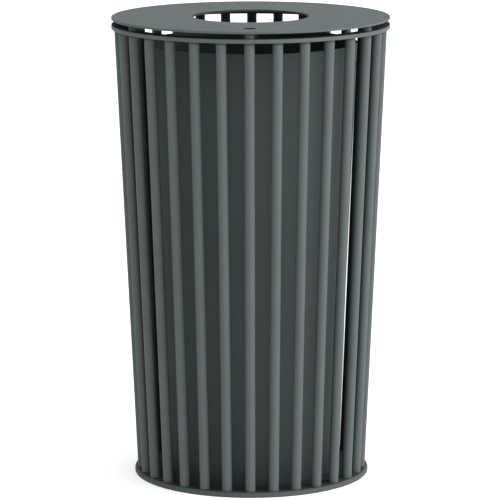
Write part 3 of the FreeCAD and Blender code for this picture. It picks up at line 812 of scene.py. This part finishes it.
def make_lid(looks, sizes):
    """Lid with its throat and its key hole."""
    outlines = [round_outline(0.0, 0.0, radius, PLATE_SIDES) for radius in (LID_RADIUS, THROAT_RADIUS)]
    outlines.append(round_outline(LOCK.x, LOCK.y, KEY_HOLE_RADIUS, HOLE_SIDES))
    plate = make_plate("lid", LID_BOTTOM, LID_TOP, outlines, sizes.plate_edge)
    # Painted shade: underside, key hole and throat darkened, and the level top tinted darker and cooler
    mark(plate.data, "painted_shade", shade_on_lid)
    mark(plate.data, "top_shaded", lambda face: face.normal.z > FLAT)
    deliver(plate, "lid", "powder_coat", looks, "lid_plate")


def bar_inputs(looks, sizes, nodes, bottom, top):
    """Inputs that the cage's bars and the spacers both take."""
    return {
        "Bars": ("NodeSocketInt", len(nodes)),
        "Bar radius": ("NodeSocketFloat", ROD_RADIUS),
        "Bar sides": ("NodeSocketInt", sizes.bar_sides),
        "Foot level": ("NodeSocketFloat", bottom),
        "Height": ("NodeSocketFloat", top - bottom),
        "Weld radius": ("NodeSocketFloat", sizes.weld_radius),
        "Ripples": ("NodeSocketInt", sizes.collar_ripples),
        "Finish": ("NodeSocketMaterial", finish_for("powder_coat", looks)),
    }


def make_bars(looks, sizes):
    """The cage's bars, all in one piece."""
    rods = named("rod_")
    piece = grow("bars", {
        **bar_inputs(looks, sizes, rods, BASE_TOP, RING_BOTTOM),
        "Foot circle": ("NodeSocketFloat", ROD_FOOT),
        "Head circle": ("NodeSocketFloat", ROD_HEAD),
    }, leaning_bars)
    # Painted shade: the bars darkened in their end welds and where they look inwards
    mark(piece.data, "painted_shade", lambda face: shade_on_bar(face, sizes.weld_radius))
    deliver(piece, "cage", "powder_coat", looks, *rods)


def make_spacers(looks, sizes):
    """The spacers between the ring and the lid."""
    spacers = named("spacer_")
    piece = grow("lid_spacers", {
        **bar_inputs(looks, sizes, spacers, RING_TOP, LID_BOTTOM),
        "Circle": ("NodeSocketFloat", ROD_HEAD),
    }, spacer_bars)
    # Painted shade: the spacers darkened under the lid, wholly in their top row
    mark(piece.data, "painted_shade", shade_on_spacer)
    deliver(piece, "cage", "powder_coat", looks, *spacers)


def side_paths(node, radius, level):
    """Lines at both sides of a hinge's part, from its inner end out to a plate's rim."""
    low, high = node_box(node)
    return [[Vector((x, low.y, level)), Vector((x, math.sqrt(radius ** 2 - x ** 2), level))]
            for x in (low.x, high.x)]


def locator_path(node):
    """The outer end of a locator's foot on the base disc."""
    centre = middle(node)
    out = Vector((centre.x, centre.y, 0.0)).normalized()
    side = Vector((-out.y, out.x, 0.0))
    half = LOCATOR_WIDTH / 2
    toe = out * LOCATOR_TOE + Vector((0.0, 0.0, BASE_TOP))
    return [toe - side * half, toe + side * half]


def keeper_path():
    """The top of the keeper where it meets the ring's bore."""
    low, high = node_box("latch_keeper")
    half = math.asin(high.x / RING_BORE)
    turns = [FRONT - half + 2 * half * step / KEEPER_STEPS for step in range(KEEPER_STEPS + 1)]
    return [Vector((RING_BORE * math.cos(turn), RING_BORE * math.sin(turn), high.z)) for turn in turns]


def housing_path():
    """The rim of the lock housing's flange under the lid."""
    flange = reach("lock_housing", LOCK.x, LOCK.y)[1]
    outline = round_outline(LOCK.x, LOCK.y, flange, HOLE_SIDES)
    points = [Vector((x, y, LID_BOTTOM)) for x, y in outline]
    return points + points[:1]


def make_hinges(looks, sizes):
    """Hinge brackets, straps and pins."""
    for node in named("hinge_bracket_"):
        deliver(soften(node, sizes.part_edge), "cage", "powder_coat", looks, node)
    for node in named("hinge_strap_"):
        deliver(soften(node, sizes.part_edge), "lid", "powder_coat", looks, node)
    deliver(soften("hinge_pins", sizes.part_edge), "cage", "pin_steel", looks, "hinge_pins")


def make_fittings(looks, sizes):
    """Keeper, liner locators and the beads that hold them and the hinge brackets on the cage."""
    for node in ["latch_keeper", *named("liner_locator_")]:
        deliver(soften(node, sizes.part_edge), "cage", "powder_coat", looks, node)
    paths = [locator_path(node) for node in named("liner_locator_")] + [keeper_path()]
    for node in named("hinge_bracket_"):
        paths += side_paths(node, RING_RADIUS, RING_TOP)
    make_welds("cage_welds", paths, sizes.weld_radius, "cage", looks)


def make_lock(looks, sizes):
    """Lock housing, spindle, cam and screw, and the beads under the lid."""
    housing = soften("lock_housing", sizes.part_edge)
    # Painted shade: the lock housing under the lid darkened all over
    mark(housing.data, "painted_shade", lambda face: 1.0)
    deliver(housing, "lid", "powder_coat", looks, "lock_housing")
    for node in ("lock_spindle", "lock_cam", "lock_screw"):
        deliver(soften(node, sizes.part_edge / 2), "lock", "lock_steel", looks, node)
    paths = [housing_path()]
    for node in named("hinge_strap_"):
        paths += side_paths(node, LID_RADIUS, LID_BOTTOM)
    make_welds("lid_welds", paths, sizes.weld_radius, "lid", looks)


def liner_profile(sizes):
    """Outline of the liner's wall: straight taper, a folded hem with a round top, and back down inside."""
    wall = sizes.liner_sheet
    foot = LINER_FOOT_RADIUS
    slope = (LINER_RIM - foot) / (LINER_TOP - LINER_FOOT)
    hem = LINER_TOP - sizes.hem_height
    points = [(foot, LINER_FOOT), (LINER_RIM - wall * slope, LINER_TOP - wall)]
    for step in range(1, HEM_STEPS):
        turn = math.pi * step / HEM_STEPS
        points.append((LINER_RIM - wall + wall * math.cos(turn), LINER_TOP - wall + wall * math.sin(turn)))
    inside = LINER_RIM - slope * sizes.hem_height
    points.append((LINER_RIM - 2 * wall, LINER_TOP - wall))
    points += [(inside - depth * wall, hem + rise * wall) for depth, rise in HEM_LIP_SHARES]
    points.append((foot - wall, LINER_FOOT))
    return points


def make_liner(looks, sizes):
    """Liner wall with its seam at the back, and the finish of its bottom."""
    wall = make_lathe("liner_shell", liner_profile(sizes), PLATE_SIDES)
    mark(wall.data, "worn", lambda face: face.center.z > LINER_TOP - sizes.liner_sheet)
    # Painted shade: the liner's inward faces are darkened
    mark(wall.data, "painted_shade", lambda face: SHADE_IN_LINER if inward(face) > 0.0 else 0.0)
    deliver(wall, "liner", "liner_coat", looks, "liner_wall")
    foot = Vector((0.0, LINER_FOOT_RADIUS, LINER_FOOT))
    head = Vector((0.0, LINER_RIM, LINER_TOP - sizes.hem_height))
    make_welds("liner_seam", [[foot, head]], sizes.weld_radius * SEAM_SHARE, "liner", looks, "liner_coat")
    for slot in frame["nodes"]["liner_bottom"].material_slots:
        slot.link = "OBJECT"
        slot.material = finish_for("liner_coat", looks)


def wire_loop(graph, entry):
    """A closed loop of round wire that hangs in an upright plane across X."""
    outline = graph.node("GeometryNodeCurvePrimitiveQuadrilateral", {}, {"Width": entry["Width"],
                                                                         "Height": entry["Drop"]})["Curve"]
    bent = graph.node("GeometryNodeFilletCurve", {"mode": "POLY"}, {"Curve": outline, "Count": BEND_STEPS,
                                                                    "Radius": entry["Bend"]})["Curve"]
    tube = tube_along(graph, bent, entry["Wire radius"], WIRE_SIDES)
    upright = moved(graph, tube, rotation=(math.pi / 2, 0.0, math.pi / 2))
    return moved(graph, upright, x=entry["X"], z=entry["Level"])


def make_handles(looks, sizes):
    """Both drop handles, their brackets and rivets."""
    for side in ("left", "right"):
        node = f"handle_{side}"
        low, high = node_box(node)
        wire = (high.x - low.x) / 2
        piece = grow(f"grip_{side}", {
            "Width": ("NodeSocketFloat", high.y - low.y - 2 * wire),
            "Drop": ("NodeSocketFloat", high.z - low.z - 2 * wire),
            "Bend": ("NodeSocketFloat", sizes.handle_bend),
            "Wire radius": ("NodeSocketFloat", wire),
            "X": ("NodeSocketFloat", (low.x + high.x) / 2),
            "Level": ("NodeSocketFloat", (low.z + high.z) / 2),
            "Finish": ("NodeSocketMaterial", finish_for("zinc_wire", looks)),
        }, wire_loop)
        deliver(piece, node, "zinc_wire", looks, node)
        bracket = f"handle_bracket_{side}"
        deliver(soften(bracket, sizes.part_edge), "liner", "liner_coat", looks, bracket)
    deliver(soften("handle_rivets", sizes.part_edge), "liner", "liner_coat", looks, "handle_rivets")


# Stage

CAMERA_DISTANCE = 5.6888
CAMERA_HEIGHT = 1.4640
CAMERA_AZIMUTH = 0.5356
CAMERA_PITCH = 10.5147
CAMERA_YAW = 0.0188
CAMERA_ROLL = -0.0955
FOCAL_PIXELS = 3184.4
PICTURE_PIXELS = 500
SENSOR_WIDTH = 36.0
NEAREST_SEEN = 0.1
FARTHEST_SEEN = 200.0

SIDE_LIGHT_PLACE = (4.0, -1.5, 1.6)
SIDE_LIGHT_TARGET = (0.0, 0.0, 0.5)
SIDE_LIGHT_SIZE = (2.5, 2.5)
FRONT_LIGHT_PLACE = (0.5, -6.0, 0.7)
FRONT_LIGHT_TARGET = (0.0, 0.0, 0.4)
FRONT_LIGHT_SIZE = (4.0, 1.4)
WHITE = (1.0, 1.0, 1.0, 1.0)


def make_camera():
    """Camera at the photograph's viewpoint, found from the rims and bars in it."""
    data = bpy.data.cameras.new("Camera")
    data.sensor_fit = "HORIZONTAL"
    data.sensor_width = SENSOR_WIDTH
    data.lens = FOCAL_PIXELS / PICTURE_PIXELS * SENSOR_WIDTH
    data.clip_start = NEAREST_SEEN
    data.clip_end = FARTHEST_SEEN
    camera = add_object("Camera", data)
    azimuth = math.radians(CAMERA_AZIMUTH)
    place = Vector((math.sin(azimuth), -math.cos(azimuth), 0.0)) * CAMERA_DISTANCE
    place.z = CAMERA_HEIGHT
    pose = Matrix.Translation(place)
    for axis, degrees in (("Z", CAMERA_AZIMUTH), ("X", 90.0 - CAMERA_PITCH),
                          ("Y", CAMERA_YAW), ("Z", CAMERA_ROLL)):
        pose = pose @ Matrix.Rotation(math.radians(degrees), 4, axis)
    camera.matrix_world = pose
    bpy.context.scene.camera = camera


def make_floor(stage):
    """Large pale floor."""
    mesh = bpy.data.meshes.new("floor")
    outline = round_outline(0.0, 0.0, stage.floor_radius, FLOOR_SIDES)
    mesh.from_pydata([(x, y, 0.0) for x, y in outline], [], [list(range(len(outline)))])
    floor = add_object("floor", mesh)
    mesh.materials.append(studio_floor("floor", stage.floor_color, stage.floor_glow))


def make_softbox(name, place, target, size, power):
    """A rectangular soft light that faces a point."""
    data = bpy.data.lights.new(name, "AREA")
    data.shape = "RECTANGLE"
    data.size, data.size_y = size
    data.energy = power
    light = add_object(name, data)
    light.location = place
    light.rotation_euler = (Vector(target) - Vector(place)).to_track_quat("-Z", "Y").to_euler()


def make_sky(stage):
    """White backdrop to look at, and a dome that lights the bin more from one side."""
    world = bpy.data.worlds.new("Studio")
    world.use_nodes = True
    world.node_tree.nodes.clear()
    graph = Graph(world.node_tree)
    x = graph.axes(graph.node("ShaderNodeTexCoord")["Generated"])[0]
    strength = x * stage.dome_slant + stage.dome_strength
    dome = graph.node("ShaderNodeBackground", {}, {"Color": WHITE, "Strength": strength})["Background"]
    backdrop = graph.node("ShaderNodeBackground", {}, {"Color": WHITE, "Strength": 1.0})["Background"]
    seen = graph.node("ShaderNodeLightPath")["Is Camera Ray"]
    mixed = graph.node("ShaderNodeMixShader", {}, {0: seen, 1: dome, 2: backdrop})["Shader"]
    graph.node("ShaderNodeOutputWorld", {}, {"Surface": mixed})
    bpy.context.scene.world = world


def make_stage(stage):
    """Floor, light, backdrop and camera."""
    make_floor(stage)
    make_sky(stage)
    make_softbox("Side light", SIDE_LIGHT_PLACE, SIDE_LIGHT_TARGET, SIDE_LIGHT_SIZE, stage.side_power)
    make_softbox("Front light", FRONT_LIGHT_PLACE, FRONT_LIGHT_TARGET, FRONT_LIGHT_SIZE, stage.front_power)
    make_camera()
    view = bpy.context.scene.view_settings
    view.view_transform = "Standard"
    view.look = "None"


# User interface

class BIN_looks(bpy.types.PropertyGroup):
    """Colours and finishes."""

    coat_color: bpy.props.FloatVectorProperty(
        name="Coat", description="Colour of the powder coat on the cage and the lid", subtype="COLOR",
        size=3, min=0.0, max=1.0, default=(0.069, 0.081, 0.081))
    coat_roughness: bpy.props.FloatProperty(
        name="Coat roughness", description="How matt the powder coat is", default=0.58, min=0.0, max=1.0)
    coat_grain: bpy.props.FloatProperty(
        name="Coat grain", description="Size of the pebbles in the powder coat", default=0.9 * MM,
        min=0.1 * MM, precision=5, unit="LENGTH")
    edge_wear: bpy.props.FloatProperty(
        name="Edge wear", description="How much of the rounded edges is rubbed pale", default=0.25,
        min=0.0, max=1.0, subtype="FACTOR")
    # The liner's colour is darker than the coat's: painted shade
    liner_shaded_color: bpy.props.FloatVectorProperty(
        name="Liner", description="Colour of the liner's coat", subtype="COLOR",
        size=3, min=0.0, max=1.0, default=(0.034, 0.0425, 0.0425))
    liner_roughness: bpy.props.FloatProperty(
        name="Liner roughness", description="How matt the liner's coat is", default=0.6, min=0.0, max=1.0)
    steel_color: bpy.props.FloatVectorProperty(
        name="Steel", description="Colour of the lock and the hinge pins", subtype="COLOR",
        size=3, min=0.0, max=1.0, default=(0.26, 0.27, 0.265))
    zinc_color: bpy.props.FloatVectorProperty(
        name="Zinc", description="Colour of the handles' galvanised wire", subtype="COLOR",
        size=3, min=0.0, max=1.0, default=(0.50, 0.52, 0.53))
    metal_roughness: bpy.props.FloatProperty(
        name="Metal roughness", description="How dull the bare metal is", default=0.48, min=0.0, max=1.0)


class BIN_sizes(bpy.types.PropertyGroup):
    """Sizes that the CAD model leaves open."""

    plate_edge: bpy.props.FloatProperty(
        name="Plate edge", description="Rounding of the rims of lid, ring and base", default=0.8 * MM,
        min=0.1 * MM, precision=5, unit="LENGTH")
    part_edge: bpy.props.FloatProperty(
        name="Part edge", description="Rounding of the edges of small parts", default=0.5 * MM,
        min=0.05 * MM, precision=5, unit="LENGTH")
    weld_radius: bpy.props.FloatProperty(
        name="Weld", description="Radius of the weld beads", default=1.1 * MM, min=0.2 * MM,
        precision=5, unit="LENGTH")
    collar_ripples: bpy.props.IntProperty(
        name="Collar ripples", description="Ripples in the weld round the end of a bar", default=14, min=3)
    bar_sides: bpy.props.IntProperty(
        name="Bar sides", description="Facets round each bar", default=56, min=12)
    liner_sheet: bpy.props.FloatProperty(
        name="Liner sheet", description="Thickness of the liner's wall", default=1.5 * MM,
        min=0.3 * MM, precision=5, unit="LENGTH")
    hem_height: bpy.props.FloatProperty(
        name="Hem", description="Height of the fold inside the liner's rim", default=12 * MM,
        min=2 * MM, precision=4, unit="LENGTH")
    handle_bend: bpy.props.FloatProperty(
        name="Handle bend", description="Bend of the handles' corners", default=14 * MM, min=4 * MM,
        precision=4, unit="LENGTH")


class BIN_stage(bpy.types.PropertyGroup):
    """Floor and light."""

    floor_radius: bpy.props.FloatProperty(
        name="Floor", description="Radius of the floor", default=40.0, min=1.0, unit="LENGTH")
    floor_color: bpy.props.FloatVectorProperty(
        name="Floor colour", description="Colour of the floor", subtype="COLOR",
        size=3, min=0.0, max=1.0, default=(0.90, 0.90, 0.90))
    floor_glow: bpy.props.FloatProperty(
        name="Floor glow", description="Light that the floor gives off", default=0.40, min=0.0)
    side_power: bpy.props.FloatProperty(
        name="Side light", description="Power of the large light on the right", default=146.0, min=0.0,
        unit="POWER")
    front_power: bpy.props.FloatProperty(
        name="Front light", description="Power of the wide light behind the camera", default=43.0, min=0.0,
        unit="POWER")
    dome_strength: bpy.props.FloatProperty(
        name="Dome", description="Strength of the light from all round", default=1.10, min=0.0)
    dome_slant: bpy.props.FloatProperty(
        name="Dome slant", description="How much stronger the dome is on the right", default=0.50)


class BIN_settings(bpy.types.PropertyGroup):
    """Everything that a user can change."""

    looks: bpy.props.PointerProperty(
        name="Looks", description="Colours and finishes", type=BIN_looks)
    sizes: bpy.props.PointerProperty(
        name="Sizes", description="Sizes that the CAD model leaves open", type=BIN_sizes)
    stage: bpy.props.PointerProperty(
        name="Stage", description="Floor and light", type=BIN_stage)


def run(context, *makers):
    """Make some pieces with the scene's settings."""
    settings = context.scene.litter_bin
    for maker in makers:
        maker(settings.looks, settings.sizes)
    return {"FINISHED"}


class BIN_OT_plates(bpy.types.Operator):
    """Make the base disc, the top ring and the lid."""

    bl_idname = "litter_bin.plates"
    bl_label = "Plates"

    def execute(self, context):
        return run(context, make_base, make_ring, make_lid)


class BIN_OT_bars(bpy.types.Operator):
    """Make the leaning bars and the lid's spacers."""

    bl_idname = "litter_bin.bars"
    bl_label = "Bars"

    def execute(self, context):
        return run(context, make_bars, make_spacers)


class BIN_OT_hinges(bpy.types.Operator):
    """Make the hinges, the keeper and the locators, and their welds on the cage."""

    bl_idname = "litter_bin.hinges"
    bl_label = "Hinges and fittings"

    def execute(self, context):
        return run(context, make_hinges, make_fittings)


class BIN_OT_lock(bpy.types.Operator):
    """Make the lock, and the welds under the lid."""

    bl_idname = "litter_bin.lock"
    bl_label = "Lock"

    def execute(self, context):
        return run(context, make_lock)


class BIN_OT_liner(bpy.types.Operator):
    """Make the liner."""

    bl_idname = "litter_bin.liner"
    bl_label = "Liner"

    def execute(self, context):
        return run(context, make_liner)


class BIN_OT_handles(bpy.types.Operator):
    """Make the liner's handles with their brackets and rivets."""

    bl_idname = "litter_bin.handles"
    bl_label = "Handles"

    def execute(self, context):
        return run(context, make_handles)


class BIN_OT_stage(bpy.types.Operator):
    """Make the floor, the light and the camera."""

    bl_idname = "litter_bin.stage"
    bl_label = "Stage"

    def execute(self, context):
        make_stage(context.scene.litter_bin.stage)
        return {"FINISHED"}


OPERATORS = (BIN_OT_plates, BIN_OT_bars, BIN_OT_hinges, BIN_OT_lock, BIN_OT_liner, BIN_OT_handles,
             BIN_OT_stage)


class BIN_PT_panel(bpy.types.Panel):
    """The bin's pieces and settings."""

    bl_label = "Litter Bin"
    bl_idname = "BIN_PT_panel"
    bl_space_type = "VIEW_3D"
    bl_region_type = "UI"
    bl_category = "Litter Bin"

    def draw(self, context):
        settings = context.scene.litter_bin
        for operator in OPERATORS:
            self.layout.operator(operator.bl_idname)
        for group in (settings.looks, settings.sizes, settings.stage):
            column = self.layout.column(align=True)
            for name in group.bl_rna.properties.keys():
                if name not in ("rna_type", "name"):
                    column.prop(group, name)


CLASSES = (BIN_looks, BIN_sizes, BIN_stage, BIN_settings, *OPERATORS, BIN_PT_panel)


def register():
    """Add the classes and the scene's settings."""
    for entry in CLASSES:
        bpy.utils.register_class(entry)
    bpy.types.Scene.litter_bin = bpy.props.PointerProperty(type=BIN_settings)


def unregister():
    """Take the classes and the settings away again."""
    del bpy.types.Scene.litter_bin
    for entry in reversed(CLASSES):
        bpy.utils.unregister_class(entry)


def main():
    """Make every piece and the stage."""
    register()
    for operator in OPERATORS:
        name = operator.bl_idname.split(".")[1]
        getattr(bpy.ops.litter_bin, name)()


if __name__ == "__main__":
    main()
